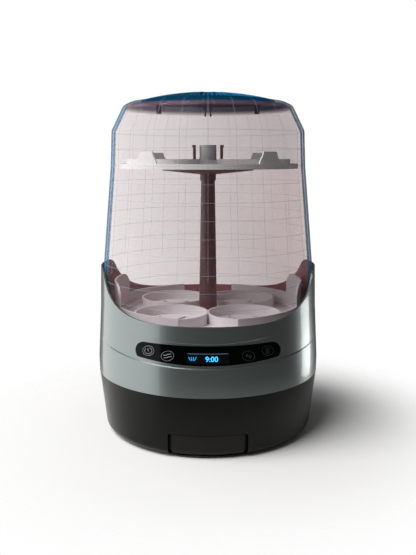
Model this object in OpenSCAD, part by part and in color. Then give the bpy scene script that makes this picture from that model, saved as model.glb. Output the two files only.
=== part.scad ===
// Countertop bottle steriliser and dryer: steam base with control panel, clear
// lift-off lid, lower bottle rack, centre post and upper accessory tray.
// Millimetres. Origin at the centre of the footprint on the table, +Z up,
// the control panel faces -Y.

/* [Base] */
// Height of the seam between the dark base and the grey housing
seam_z = 69; // [60:1:80]
// Radius of the body at the seam
seam_r = 127; // [120:0.5:127]
// Radius of the round along the bottom edge of the base
foot_round = 9; // [4:0.5:12]
// Radius at which the bottom edge round is centred
foot_r = 111.4; // [108:0.2:113]
// Wall thickness of the base shell
base_wall = 3.1; // [2.4:0.1:3.6]

/* [Housing] */
// Height of the housing rim at the front and the back
rim_front_z = 143; // [138:0.5:150]
// Height of the housing rim at the sides
rim_side_z = 190; // [180:1:200]
// Radius of the hollow sweep of the rim
rim_sweep_r = 97; // [90:1:105]
// Radius of the shoulder where the sweep meets the side rim
rim_shoulder_r = 20; // [12:1:30]
// Inside radius of the collar round the lid
collar_bore_r = 121.2; // [120.8:0.1:121.4]
// Height of the lower step line at the front
band_low_z = 99.3; // [96:0.5:101]
// Height of the upper step line at the front
band_high_z = 125.4; // [124:0.2:128]
// Depth of the control band at the front
band_depth = 1.8; // [1:0.1:2]

/* [Controls] */
// Half width of the gloss fascia
fascia_half_w = 75.5; // [72:0.5:80]
// Height of the gloss fascia at its middle
fascia_h = 20.7; // [19:0.1:22]
// Height of the fascia's middle above the table
fascia_z = 113.3; // [112:0.1:114]
// How far a key stands proud of the fascia round it
key_proud = 0.5; // [0.3:0.1:0.8]

/* [Lid] */
// Height at which the lid's edge sits on its seal
lid_edge_z = 134.2; // [134:0.1:135]
// Height of the lid's flat top
lid_top_z = 371; // [360:1:380]
// Wall thickness of the lid
lid_wall = 2.6; // [2:0.1:3]
// Radius of the vent cap
cap_r = 74.4; // [70:0.2:80]
// Height of the crown of the vent cap
cap_top_z = 381.8; // [378:0.2:384]

/* [Racks] */
// Radius of the upper accessory tray
tray_r = 101.5; // [98:0.5:103]
// Height of the underside of the upper tray
tray_z = 298.6; // [290:0.2:300]
// Radius of the lower rack's outer wall
rack_r = 108; // [104:0.5:110]
// Height of the lower rack's floor
rack_z = 128; // [127.5:0.5:129]
// Radius of a bottle cup
cup_r = 41; // [36:0.5:41]

/* [Hidden] */
$fn = 120;

lift = 0.2;             // gap under a part that stands on another body
big = 400;              // longer than anything it cuts
skirt_z = 2;            // underside of the base shell and bottom plate
floor_top_z = 5;        // top of the bottom plate
floor_r = 108.7;        // radius of the bottom plate

// slope of the base wall, and where it leaves the bottom round
wall_tilt = atan((seam_r - foot_r - foot_round) / (seam_z - skirt_z - foot_round));
round_z = skirt_z + foot_round;
tangent_r = foot_r + foot_round * cos(wall_tilt);
tangent_z = round_z - foot_round * sin(wall_tilt);

// the housing above the seam
house_z = seam_z + 0.4;
belly_r = 127.3;
belly_z = 86;
rim_r = 124;
side_r = 122.8;
house_wall = 3.6;
house_bore_r = belly_r - house_wall;

// the control band is a cylinder set back behind the housing's own axis, so
// the step is deepest at the front and runs out at the sides
band_back = 2;
band_r = 126.3 + band_back - band_depth;
band_low_tilt = 8;
band_high_tilt = 14;
pocket = 0.8;

// key places: sideways from the middle, and height
outer_key = [61, 115];
inner_key = [41, 112];
key_half_w = 7.75;
key_half_h = 6;
display_half_w = 20.9;
display_h = 9.8;
display_z = 111.1;
board_r = 114.6;
switch_h = 3.3;

// deck, seals and water dish
deck_z = 129;
deck_t = 3;
deck_r = 120.9;
well_r = 107;
well_floor_z = 112;
dish_r = 56;
dish_z = 101;
dish_flange_r = 64;

// blower
blower_y = 45;
volute_r = 40;
volute_low = 16;
volute_high = 50;
wheel_r = 31;
duct_y = [82, 100];
duct_half_w = 15;

// lid
lid_r = 120.3;
lid_collar_r = 119.9;
lid_shoulder_z = 340;
lid_shoulder_r = 107.8;
lid_crown_r = 91;
prong_r = 55;

// post and tray
post_low_r = 10.5;
post_high_r = 7.85;
post_foot_z = 134.6;
post_collar_z = 285;
flange_r = 52;
spigot_r = 7.2;
grip_r = 16;
grip_top_z = 324.6;
hub_r = 9.5;
platform_x = 49;
platform_r = 44;
platform_z = 309;
tab_angle = 50.5;
tab_half_w = 9.5;
tab_h = 13;

// drawer
drawer_half_w = 38;
drawer_top_z = 26.6;
bay_half_w = 42;
bay_top_z = 27.6;

key_places = [
    [-outer_key[0], outer_key[1]],
    [-inner_key[0], inner_key[1]],
    [inner_key[0], inner_key[1]],
    [outer_key[0], outer_key[1]]
];

function key_turn(x) = asin(x / band_r);
function lid_radius(z) =
    z < 188 ? lookup(z, [[lid_edge_z, lid_r], [188, lid_collar_r]])
            : lookup(z, [[188, lid_collar_r], [240, 115.2], [300, 109.6],
                         [lid_shoulder_z, lid_shoulder_r]]);

// ---- shared shapes ---------------------------------------------------------

module ring(outer, inner, low, high) {
    translate([0, 0, low])
        difference() {
            cylinder(r = outer, h = high - low);
            translate([0, 0, -1]) cylinder(r = inner, h = high - low + 2);
        }
}

module block(low, high) {
    translate(low) cube(high - low);
}

// a child placed at a radius and an angle, counted from +X
module at_polar(radius, angle) {
    rotate([0, 0, angle]) translate([radius, 0, 0]) children();
}

// a flat shape drawn in X and Z, run along Y
module along_y(low, high) {
    translate([0, high, 0]) rotate([90, 0, 0]) linear_extrude(high - low) children();
}

// a flat shape drawn in Y and Z, run along X
module along_x(low, high) {
    translate([low, 0, 0]) rotate([90, 0, 90]) linear_extrude(high - low) children();
}

module rounded_rect(w, h, r) {
    for (sx = [-1, 1], sy = [-1, 1])
        translate([sx * (w / 2 - r), sy * (h / 2 - r)]) circle(r = r);
    square([w - 2 * r, h], center = true);
    square([w, h - 2 * r], center = true);
}

// a stadium: w wide, h high, with round ends
module stadium(w, h) {
    for (s = [-1, 1]) translate([s * (w - h) / 2, 0]) circle(d = h);
    square([w - h, h], center = true);
}

// the frame of a key: its face looks along +Z, at the band's surface
module at_key(place) {
    translate([0, band_back, place[1]])
        rotate([0, 0, key_turn(place[0])])
            translate([0, -band_r, 0])
                rotate([90, 0, 0]) children();
}

// the outer form of the base, drawn in by an inset
module base_form(inset) {
    rotate_extrude() {
        polygon([[0, skirt_z], [foot_r - inset, skirt_z],
                 [tangent_r - inset, tangent_z],
                 [seam_r - inset, seam_z], [0, seam_z]]);
        translate([foot_r - inset, round_z]) circle(r = foot_round);
    }
}

// everything above the housing's rim line, drawn in Y and Z: a hollow sweep
// from the front up to a round shoulder, level at the side, and the same behind
module above_rim() {
    above_half_rim();
    mirror([1, 0]) above_half_rim();
}

module above_half_rim() {
    sweep_y = -122;
    sweep_z = rim_front_z + rim_sweep_r;
    shoulder_z = rim_side_z - rim_shoulder_r;
    reach = rim_sweep_r + rim_shoulder_r;
    fall = sweep_z - shoulder_z;
    shoulder_y = sweep_y + sqrt(pow(reach, 2) - pow(fall, 2));
    meet_a = acos(fall / reach);
    hollow = [for (i = [0 : 12]) let (a = i * meet_a / 12)
        [sweep_y + rim_sweep_r * sin(a), sweep_z - rim_sweep_r * cos(a)]];
    shoulder = [for (i = [1 : 6]) let (a = meet_a * (1 - i / 6))
        [shoulder_y - rim_shoulder_r * sin(a), shoulder_z + rim_shoulder_r * cos(a)]];
    polygon(concat([[-big, rim_front_z]], hollow, shoulder, [[1, rim_side_z], [1, big], [-big, big]]));
}

// the gloss fascia's outline seen from the front, grown by a margin
module fascia_outline(grow = 0) {
    belly = 660;
    translate([0, fascia_z])
        intersection() {
            stadium(2 * (fascia_half_w + grow), fascia_h + 2 * grow);
            translate([0, belly - fascia_h / 2]) circle(r = belly + grow, $fn = 720);
        }
}

// the control band's own wall, from one depth to another
module band_shell(inner, outer) {
    translate([0, band_back, 0]) ring(band_r + outer, band_r + inner, 90, 140);
}

module screw(head_r, head_h, shank_r, shank_h) {
    difference() {
        cylinder(r = head_r, h = head_h);
        translate([0, 0, -0.01]) cylinder(r = head_r * 0.45, h = head_h * 0.6, $fn = 6);
    }
    cylinder(r = shank_r, h = head_h + shank_h);
}

// ---- base ------------------------------------------------------------------

inlet_angle = 62;
inlet_w = 30;
inlet_h = 21;
inlet_z = 34;
boss_r = 103;
ear_r = 114;
ear_angles = [20, 160, 200, 340];
boss_angles = [45, 135, 225, 315];

module base_housing() {
    color("#1b1815")
        difference() {
            union() {
                difference() {
                    base_form(0);
                    rotate_extrude()
                        polygon([[0, -1], [floor_r + 0.3, -1],
                                 [floor_r + 0.3, floor_top_z], [112, floor_top_z],
                                 [tangent_r - base_wall, tangent_z],
                                 [seam_r - base_wall, seam_z], [0, seam_z + 1]]);
                    translate([0, 0, seam_z - 1]) cylinder(r = seam_r - base_wall - 0.05, h = 3);
                }
                // tongue that the housing slips over, and its root
                ring(house_bore_r - 0.5, house_bore_r - 3.2, 60, seam_z + 4);
                ring(seam_r - 1.6, house_bore_r - 3.2, 60, seam_z - 1);
                // ears for the housing screws
                for (a = ear_angles)
                    at_polar(ear_r, a)
                        translate([0, 0, seam_z]) cylinder(r = 7, h = 4);
                // bosses for the bottom screws, each on a rib
                for (a = boss_angles) {
                    at_polar(boss_r, a) translate([0, 0, floor_top_z]) cylinder(r = 4.5, h = 15);
                    rotate([0, 0, a]) block([boss_r + 3, -1.2, 8], [119, 1.2, 20]);
                }
            }
            for (a = ear_angles)
                at_polar(ear_r, a) translate([0, 0, seam_z - 1]) cylinder(r = 1.8, h = 6);
            for (a = boss_angles)
                at_polar(boss_r, a) translate([0, 0, 4]) cylinder(r = 1.55, h = 14);
            // filter bay mouth
            along_y(-140, -100)
                translate([0, (3.5 + bay_top_z) / 2])
                    rounded_rect(2 * bay_half_w, bay_top_z - 3.5, 3);
            // mains inlet window
            rotate([0, 0, inlet_angle - 90])
                along_y(105, 140)
                    translate([0, inlet_z]) rounded_rect(inlet_w + 0.6, inlet_h + 0.6, 4);
            // rear air slots
            for (a = [102 : 4 : 138], z = [30, 46])
                rotate([0, 0, a - 90])
                    along_y(105, 140) translate([0, z + 5]) rotate(90) stadium(13, 3);
        }
}

intake_angles = [30 : 10 : 150];

module bottom_plate() {
    color("#24211e")
        difference() {
            union() {
                translate([0, 0, skirt_z]) cylinder(r = floor_r, h = floor_top_z - skirt_z);
                // drawer rails
                for (s = [-1, 1])
                    block([s * 38.6 - 1, -100, floor_top_z - 1], [s * 38.6 + 1, -57, 12]);
                // blower stand
                translate([0, blower_y, 0])
                    ring(volute_r - 2, volute_r - 5, floor_top_z - 1, volute_low - 0.2);
            }
            for (a = boss_angles)
                at_polar(boss_r, a) {
                    translate([0, 0, 1]) cylinder(r = 1.8, h = 6);
                    translate([0, 0, 1]) cylinder(r = 3.6, h = 3.2);
                }
            for (a = foot_angles)
                at_polar(foot_ring_r, a) translate([0, 0, 1]) cylinder(r = 9.2, h = 2.2);
            // air intake under the blower
            for (r = [12, 22], a = intake_angles)
                translate([0, -84, 0]) at_polar(r, a + 180)
                    translate([0, 0, 1]) cylinder(r = 1.5, h = 6);
        }
}

foot_ring_r = 92;
foot_angles = [20, 160, 235, 305];

module rubber_feet() {
    color("#0d0d0d")
        for (a = foot_angles)
            at_polar(foot_ring_r, a) {
                translate([0, 0, 0.8]) cylinder(r = 9, h = 2.4);
                cylinder(r1 = 8.2, r2 = 9, h = 0.8);
            }
}

module housing_screws() {
    color("#8d8f90") {
        for (a = boss_angles)
            at_polar(boss_r, a) translate([0, 0, 2.2]) screw(3.2, 2, 1.5, 13);
        for (a = ear_angles)
            at_polar(ear_r, a) translate([0, 0, seam_z - 2.2]) screw(3.2, 2.2, 1.5, 13);
    }
}

// ---- grey housing and controls ---------------------------------------------

module upper_housing() {
    color("#6f7877")
        difference() {
            union() {
                difference() {
                    rotate_extrude()
                        polygon([[0, house_z], [seam_r + 0.1, house_z],
                                 [belly_r, belly_z], [rim_r, rim_front_z + 3],
                                 [side_r, rim_side_z + 2], [0, rim_side_z + 2]]);
                    translate([0, 0, house_z - 1]) cylinder(r = house_bore_r - 0.1, h = 30);
                    rotate_extrude()
                        polygon([[0, 95], [house_bore_r - 0.1, 95],
                                 [rim_r - 2.9, 125], [rim_r - 2.9, 131],
                                 [collar_bore_r, 131], [collar_bore_r, 250], [0, 250]]);
                    along_x(-150, 150) above_rim();
                }
                // ledge that carries the chamber deck
                ring(rim_r - 2, 117.5, 125.6, deck_z);
                // bosses over the base's ears
                for (a = ear_angles) {
                    at_polar(ear_r, a) translate([0, 0, seam_z + 4.2]) cylinder(r = 4.5, h = 22);
                    rotate([0, 0, a]) block([ear_r + 3, -1.2, seam_z + 5], [house_bore_r + 1, 1.2, 94]);
                }
            }
            for (a = ear_angles)
                at_polar(ear_r, a) translate([0, 0, seam_z + 3]) cylinder(r = 1.55, h = 16);
            // control band: outside the set-back cylinder, between two sloping lines
            intersection() {
                band_shell(0, 20);
                along_x(-150, 150)
                    polygon([[-150, band_low_z - 25 * tan(band_low_tilt)],
                             [0, band_low_z + 125 * tan(band_low_tilt)],
                             [0, band_high_z + 125 * tan(band_high_tilt)],
                             [-150, band_high_z - 25 * tan(band_high_tilt)]]);
            }
            // pocket for the fascia, window for the display, holes for the keys
            intersection() {
                band_shell(-pocket, 20);
                along_y(-150, 0) fascia_outline(0.15);
            }
            along_y(-150, -110)
                translate([0, display_z]) square([2 * display_half_w + 2, display_h + 1.4], center = true);
            for (p = key_places)
                at_key(p) translate([0, 0, -8])
                    linear_extrude(12) stadium(2 * key_half_w + 0.8, 2 * key_half_h + 0.8);
        }
}

module control_fascia() {
    color("#050506")
        difference() {
            intersection() {
                band_shell(-pocket, 0.25);
                along_y(-150, 0) fascia_outline();
            }
            along_y(-150, -110)
                translate([0, display_z]) square([2 * display_half_w + 0.3, display_h + 0.3], center = true);
            for (p = key_places)
                at_key(p) translate([0, 0, -4])
                    linear_extrude(12) stadium(2 * key_half_w + 0.6, 2 * key_half_h + 0.6);
        }
}

module display_window() {
    color("#0a1420")
        intersection() {
            band_shell(-2.4, 0.2);
            along_y(-150, 0)
                translate([0, display_z]) square([2 * display_half_w, display_h], center = true);
        }
}

module display_module() {
    color("#1d2a33") {
        block([-display_half_w, -119.6, display_z - 6.4], [display_half_w, -116.4, display_z + 6.4]);
        for (s = [-1, 1])
            block([s * 15 - 2, -116.6, display_z - 3], [s * 15 + 2, -115, display_z + 3]);
    }
}

// a curved board that follows the panel; the switches and the display's feet stand on it
module control_board() {
    color("#1f5b3a")
        intersection() {
            ring(board_r, board_r - 1.6, 100.5, 124.5);
            block([-73, -150, 100], [73, 0, 125]);
        }
}

module key_switches() {
    color("#30343a")
        for (p = key_places)
            rotate([0, 0, asin(p[0] / (board_r + 6))])
                translate([0, -board_r, p[1]]) {
                    block([-3, -switch_h + 1, -3], [3, -0.1, 3]);
                    rotate([90, 0, 0]) cylinder(r = 1.7, h = switch_h - 0.4);
                }
}

module key(place) {
    at_key(place) {
        translate([0, 0, -3]) linear_extrude(3 + key_proud) stadium(2 * key_half_w, 2 * key_half_h);
        translate([0, 0, -6.2]) cylinder(r = 2.4, h = 4);
    }
}

module power_key() {
    color("#08080a") key(key_places[0]);
}

module mode_key() {
    color("#08080a") key(key_places[1]);
}

module start_pause_key() {
    color("#08080a") key(key_places[2]);
}

module dry_key() {
    color("#08080a") key(key_places[3]);
}

// ---- steam chamber floor and heating ---------------------------------------

module chamber_deck() {
    color("#e9e4e2")
        difference() {
            rotate_extrude()
                polygon([[dish_r + 0.5, well_floor_z - 2], [dish_r + 0.5, well_floor_z],
                         [well_r - 4, well_floor_z], [well_r, deck_z + deck_t],
                         [deck_r, deck_z + deck_t], [deck_r, deck_z],
                         [well_r + 2.2, deck_z], [well_r - 1.8, well_floor_z - 2]]);
            // warm air inlet at the back
            block([-duct_half_w + 2.4, duct_y[0] + 2.4, 100],
                  [duct_half_w - 2.4, duct_y[1] - 2.4, 120]);
        }
}

module lid_seal() {
    color("#c9c6c4")
        difference() {
            ring(deck_r - 0.4, 116.6, deck_z + deck_t, lid_edge_z - lift);
            ring(119.4, 118, deck_z + deck_t + 1, lid_edge_z);
        }
}

module heating_plate() {
    color("#b9bcbe")
        rotate_extrude()
            polygon([[0, dish_z - 1.4], [dish_r - 3, dish_z - 1.4], [dish_r + 1.4, dish_z + 5.6],
                     [dish_flange_r, dish_z + 5.6], [dish_flange_r, dish_z + 7],
                     [dish_r, dish_z + 7], [dish_r - 4.4, dish_z], [0, dish_z]]);
}

module plate_seal() {
    color("#d8d4d2") ring(dish_flange_r - 1, dish_r + 1, dish_z + 7, well_floor_z - 2);
}

element_r = 38;
element_tube_r = 3.4;

module heating_element() {
    color("#77736d")
        translate([0, 0, dish_z - 1.6 - element_tube_r]) {
            rotate([0, 0, 20]) rotate_extrude(angle = 320)
                translate([element_r, 0]) circle(r = element_tube_r);
            for (a = [20, 340])
                at_polar(element_r, a) translate([0, 0, -14]) cylinder(r = 2.2, h = 14);
        }
}

module thermostat() {
    color("#c8b58c") {
        translate([0, 0, 92]) cylinder(r = 8.5, h = 6.6);
        translate([0, 0, 98.4]) cylinder(r = 12, h = 1);
        for (s = [-1, 1])
            block([s * 5 - 0.4, -3, 85], [s * 5 + 0.4, 3, 93]);
    }
}

module thermal_fuse() {
    color("#cfd2d4")
        translate([22, 0, 97])
            rotate([90, 0, 0]) {
                translate([0, 0, -6]) cylinder(r = 2, h = 12);
                translate([0, 0, -11]) cylinder(r = 0.6, h = 22);
            }
}

// ---- drying air ------------------------------------------------------------

module blower_housing() {
    color("#2e3236")
        difference() {
            union() {
                translate([0, blower_y, 0]) {
                    ring(volute_r, volute_r - 2.4, volute_low, volute_high);
                    ring(volute_r, 20, volute_low, volute_low + 2);
                    ring(volute_r, 4, volute_high - 2, volute_high);
                }
                // outlet box
                block([-duct_half_w, blower_y + volute_r - 4, volute_low],
                      [duct_half_w, duct_y[1], volute_high]);
            }
            block([-duct_half_w + 2.4, blower_y + volute_r - 10, volute_low + 2],
                  [duct_half_w - 2.4, duct_y[1] - 2.4, volute_high - 2]);
            block([-duct_half_w + 2.4, duct_y[0] + 3, volute_high - 3],
                  [duct_half_w - 2.4, duct_y[1] - 2.4, volute_high + 1]);
            translate([0, blower_y, volute_low + 2])
                cylinder(r = volute_r - 2.4, h = volute_high - volute_low - 4);
        }
}

module blower_motor() {
    color("#9a9ea2")
        translate([0, blower_y, 0])
            difference() {
                union() {
                    translate([0, 0, volute_high]) cylinder(r = 21, h = 2);
                    translate([0, 0, volute_high]) cylinder(r = 17, h = 26);
                    translate([0, 0, volute_high + 26]) cylinder(r = 6, h = 3);
                }
                translate([0, 0, volute_high - 1]) cylinder(r = 2.08, h = 24);
            }
}

module motor_shaft() {
    color("#d0d2d4")
        translate([0, blower_y, 22]) cylinder(r = 2, h = volute_high + 20 - 22);
}

module blower_wheel() {
    blades = 24;
    color("#43474c")
        translate([0, blower_y, 0]) {
            difference() {
                union() {
                    translate([0, 0, 42.4]) cylinder(r = wheel_r, h = 1.6);
                    translate([0, 0, 26]) cylinder(r = 6, h = 17);
                }
                translate([0, 0, 20]) cylinder(r = 2.02, h = 30);
            }
            ring(wheel_r, wheel_r - 5, 22, 23.2);
            for (i = [0 : blades - 1])
                at_polar(wheel_r - 2.6, i * 360 / blades)
                    rotate([0, 0, 25]) block([-2, -0.6, 22.4], [2, 0.6, 43]);
        }
}

module air_duct() {
    color("#cfcac6")
        difference() {
            union() {
                block([-duct_half_w, duct_y[0], volute_high], [duct_half_w, duct_y[1], well_floor_z - 2]);
                block([-duct_half_w - 3, duct_y[0] - 3, volute_high], [duct_half_w + 3, duct_y[1] + 3, volute_high + 2]);
            }
            block([-duct_half_w + 2.4, duct_y[0] + 2.4, volute_high - 1],
                  [duct_half_w - 2.4, duct_y[1] - 2.4, well_floor_z]);
        }
}

module air_heater() {
    color("#b5a27a") {
        for (i = [0 : 7])
            block([-11 + i * 3, duct_y[0] + 3.2, 62], [-9.8 + i * 3, duct_y[1] - 3.2, 78]);
        for (z = [62, 77])
            block([-12, duct_y[0] + 3.2, z], [12, duct_y[1] - 3.2, z + 1.2]);
    }
}

// ---- power -----------------------------------------------------------------

module power_board() {
    color("#2f6a45") block([50, -34, 11], [98, 34, 12.6]);
    color("#30343a") {
        block([54, -30, 12.5], [76, -10, 30]);
        block([80, -28, 12.5], [92, -14, 26]);
        for (y = [4, 18]) translate([60, y, 12.5]) cylinder(r = 5, h = 18);
        block([74, 0, 12.5], [94, 12, 20]);
        block([74, 18, 12.5], [92, 30, 28]);
    }
    color("#d8d8d8")
        for (x = [54, 94], y = [-31, 31])
            translate([x, y, floor_top_z]) cylinder(r = 2.4, h = 6.1);
}

module power_inlet() {
    color("#111111")
        rotate([0, 0, inlet_angle - 90])
            difference() {
                union() {
                    along_y(96, 119.6)
                        translate([0, inlet_z]) rounded_rect(inlet_w - 2, inlet_h - 2, 4);
                    intersection() {
                        along_y(110, 140)
                            translate([0, inlet_z]) rounded_rect(inlet_w, inlet_h, 4);
                        difference() {
                            base_form(0.9);
                            base_form(3.4);
                        }
                    }
                    for (x = [-5, 5])
                        block([x - 0.5, 90, inlet_z - 2], [x + 0.5, 97, inlet_z + 2]);
                }
                along_y(102, 140) translate([0, inlet_z]) stadium(20, 10);
            }
    color("#d9c28a")
        rotate([0, 0, inlet_angle - 90])
            for (x = [-4.2, 4.2])
                translate([x, 113, inlet_z]) rotate([90, 0, 0]) cylinder(r = 1.2, h = 12);
}

// leads between the inlet, the power board, the heater and the control board
module wire_harness() {
    lead = 1.3;
    color("#b8473a") {
        translate([96, 36, 14]) cylinder(r = lead, h = 60);
        translate([96, 36, 74]) sphere(r = lead * 1.2);
        translate([96, 36, 74]) rotate([0, -90, 20]) cylinder(r = lead, h = 48);
    }
    color("#e8e8e8") {
        translate([70, -44, 14]) cylinder(r = lead, h = 84);
        translate([70, -44, 98]) sphere(r = lead * 1.2);
        translate([70, -44, 98]) rotate([90, 0, 12]) cylinder(r = lead, h = 38);
    }
}

// ---- filter ----------------------------------------------------------------

module filter_drawer() {
    color("#12100d") {
        // curved front panel, with a backing flange behind the side grooves
        intersection() {
            difference() {
                base_form(1.5);
                base_form(4.4);
            }
            along_y(-140, -90)
                translate([0, (4.2 + drawer_top_z) / 2])
                    rounded_rect(2 * drawer_half_w, drawer_top_z - 4.2, 2);
        }
        intersection() {
            difference() {
                base_form(4.2);
                base_form(6);
            }
            along_y(-140, -90)
                translate([0, 16.2]) rounded_rect(2 * bay_half_w - 1, 21.4, 2);
        }
        difference() {
            block([-35, -112, 5.7], [35, -58, 25]);
            block([-33, -108.6, 7.5], [33, -60, 26]);
            for (x = [-27 : 6 : 27])
                block([x - 1.5, -104, 5], [x + 1.5, -64, 8]);
        }
    }
}

module filter_element() {
    color("#e6e3da")
        difference() {
            block([-32.6, -108.2, 8], [32.6, -60.4, 22]);
            for (x = [-28 : 4 : 28]) {
                block([x - 0.7, -106, 12], [x + 0.7, -62.6, 23]);
                block([x + 1.3, -106, 7], [x + 2.7, -62.6, 18]);
            }
        }
}

// ---- racks -----------------------------------------------------------------

wall_top_z = 147;
handle_top_z = 172;
cup_top_z = 142;
cup_places = [for (x = [-40.4, 40.4], y = [-45, 45]) [x, y]];

module lower_rack() {
    color("#dcd6d8")
        difference() {
            union() {
                translate([0, 0, rack_z]) cylinder(r = 103, h = 2.4);
                // step out over the deck
                ring(103, 100.6, rack_z, 134.4);
                ring(rack_r, 100.6, deck_z + deck_t + lift, 134.4);
                // outer wall, open at the front and the back
                difference() {
                    ring(rack_r, rack_r - 2, 134, wall_top_z);
                    block([-31, -big, 134.4], [31, big, 200]);
                }
                // side handles
                intersection() {
                    ring(rack_r, rack_r - 2, 134, handle_top_z);
                    along_x(-big / 2, big / 2)
                        translate([0, handle_top_z - 40]) rounded_rect(88, 80, 14);
                }
                for (p = cup_places)
                    translate([p[0], p[1], 0]) ring(cup_r, cup_r - 1.9, rack_z + 1, cup_top_z);
                translate([0, 0, rack_z]) cylinder(r = 13, h = 6.4);
            }
            translate([0, 0, rack_z - 1]) cylinder(r = spigot_r + 0.08, h = 12);
            // drain slots
            for (p = cup_places, a = [0 : 60 : 300])
                translate([p[0], p[1], rack_z - 1])
                    rotate([0, 0, a]) translate([14, -2, 0]) cube([18, 4, 5]);
            for (a = [0, 180])
                rotate([0, 0, a]) translate([62, -3, rack_z - 1]) cube([32, 6, 5]);
        }
}

module centre_post() {
    color("#5a4242") {
        translate([0, 0, 120.8]) cylinder(r = spigot_r, h = post_foot_z - 120.8 + 1);
        translate([0, 0, post_foot_z])
            cylinder(r1 = post_low_r, r2 = post_high_r, h = post_collar_z - post_foot_z);
        translate([0, 0, post_collar_z - 0.01]) cylinder(r = 9, h = 9);
        translate([0, 0, 292]) cylinder(r1 = 9, r2 = flange_r, h = 4.4);
        translate([0, 0, 296.4]) cylinder(r = flange_r, h = tray_z - 296.4 - lift);
        // two curved grip prongs that reach up through the tray
        intersection() {
            union() {
                ring(grip_r + 1.1, grip_r - 1.1, 298, grip_top_z);
                ring(grip_r + 2, grip_r, grip_top_z - 2.6, grip_top_z);
            }
            for (a = [0, 180])
                rotate([0, 0, a]) linear_extrude(grip_top_z + 1)
                    polygon([[0, 0], [40, -16], [40, 16]]);
        }
    }
}

// a lift tab's outline, drawn sideways and up, with flanks that run out in an S
module tab_outline() {
    flare = 5;
    right = [for (i = [0 : 8]) [tab_half_w + flare * (1 + cos(i * 22.5)) / 2, tab_h * i / 8]];
    left = [for (i = [8 : -1 : 0]) [-right[i][0], right[i][1]]];
    translate([0, -2]) square([2 * tab_half_w, 4], center = true);
    polygon(concat(right, left));
}

module accessory_tray() {
    color("#d6d3d4")
        difference() {
            union() {
                translate([0, 0, tray_z]) cylinder(r = tray_r, h = 2.2);
                ring(tray_r, tray_r - 2.2, tray_z, tray_z + 5.4);
                // lift tabs on the rim
                for (a = [tab_angle, 180 - tab_angle, 180 + tab_angle, -tab_angle])
                    rotate([0, 0, a])
                        intersection() {
                            ring(tray_r - 0.3, tray_r - 1.9, tray_z + 1, tray_z + 30);
                            translate([0, 0, tray_z + 5])
                                rotate([0, 0, 90]) along_y(-120, -80) tab_outline();
                        }
                // raised seats
                difference() {
                    for (s = [-1, 1])
                        translate([s * platform_x, 0, tray_z])
                            cylinder(r = platform_r, h = platform_z - tray_z);
                    for (s = [-1, 1])
                        translate([s * platform_x, 0, tray_z - 1])
                            cylinder(r = platform_r - 2, h = platform_z - tray_z - 1);
                    translate([0, 0, tray_z - 1]) cylinder(r = 21.5, h = 30);
                }
                ring(23, 20, tray_z, platform_z - 1);
                translate([0, 0, tray_z]) cylinder(r = hub_r, h = grip_top_z - tray_z);
            }
            translate([0, 0, tray_z - 1]) cylinder(r = hub_r - 1.8, h = 40);
            // slots for the post's grip prongs
            intersection() {
                ring(grip_r + 2.7, grip_r - 1.8, tray_z - 1, tray_z + 6);
                for (a = [0, 180])
                    rotate([0, 0, a]) linear_extrude(400)
                        polygon([[0, 0], [40, -21], [40, 21]]);
            }
            // steam slots through the seats and the floor
            for (s = [-1, 1], a = [0 : 45 : 315])
                translate([s * platform_x, 0, tray_z - 1])
                    rotate([0, 0, a + 22.5]) translate([12, -1.6, 0]) cube([20, 3.2, 20]);
            for (s = [-1, 1], x = [-36 : 12 : 36])
                translate([x, s * 70, tray_z - 1])
                    linear_extrude(4) rotate(90) stadium(26, 4);
        }
}

// ---- lid -------------------------------------------------------------------

module lid_form(inset, top_inset) {
    steps = [lid_edge_z - 1, 188, 240, 300, lid_shoulder_z];
    rotate_extrude()
        polygon(concat(
            [[0, lid_edge_z - (inset > 0 ? 1 : 0)]],
            [for (z = steps)
                [lid_radius(z) - inset, z < lid_edge_z && inset == 0 ? lid_edge_z : z]],
            [[100.6 - inset, 360], [lid_crown_r + 2 - inset, 368.4 - top_inset * 0.6],
             [lid_crown_r - 3 - inset, lid_top_z - top_inset], [0, lid_top_z - top_inset]]));
}

module lid_dome() {
    color("#e3d4d4", 0.35)
        difference() {
            lid_form(0, 0);
            lid_form(lid_wall, lid_wall);
            // steam vents under the cap, and slots for its prongs
            for (a = [15 : 30 : 345])
                at_polar(30, a) translate([0, 0, 360]) cylinder(r = 4, h = 20);
            for (a = [0 : 90 : 270])
                at_polar(prong_r, a) translate([-4, -5, 360]) cube([8, 10, 20]);
        }
}

crown_r = (pow(cap_r, 2) + pow(cap_top_z - lid_top_z - 1.4, 2)) / (2 * (cap_top_z - lid_top_z - 1.4));

module lid_cap() {
    color("#0e3a55") {
        difference() {
            intersection() {
                translate([0, 0, cap_top_z - crown_r]) sphere(r = crown_r, $fn = 360);
                translate([0, 0, lid_top_z + 0.1]) cylinder(r = cap_r, h = 20);
            }
            intersection() {
                translate([0, 0, cap_top_z - crown_r - 2]) sphere(r = crown_r, $fn = 360);
                translate([0, 0, lid_top_z - 1]) cylinder(r = cap_r - 3, h = 20);
            }
            for (a = [7.5 : 15 : 352.5])
                rotate([0, 0, a]) translate([22, -1, lid_top_z - 1]) cube([40, 2, 20]);
        }
        // snap prongs in pairs, with a pad that joins them to the crown
        for (a = [0 : 90 : 270])
            at_polar(prong_r, a) {
                translate([-3, -4.4, lid_top_z + 0.1]) cube([6, 8.8, 5]);
                for (s = [-1, 1]) {
                    translate([-2.5, s * 2.9 - 0.7, lid_top_z - 12]) cube([5, 1.4, 14]);
                    translate([-2.5, s * 3.5 - 0.9, lid_top_z - 11]) cube([5, 1.8, 2.2]);
                }
            }
    }
}

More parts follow.
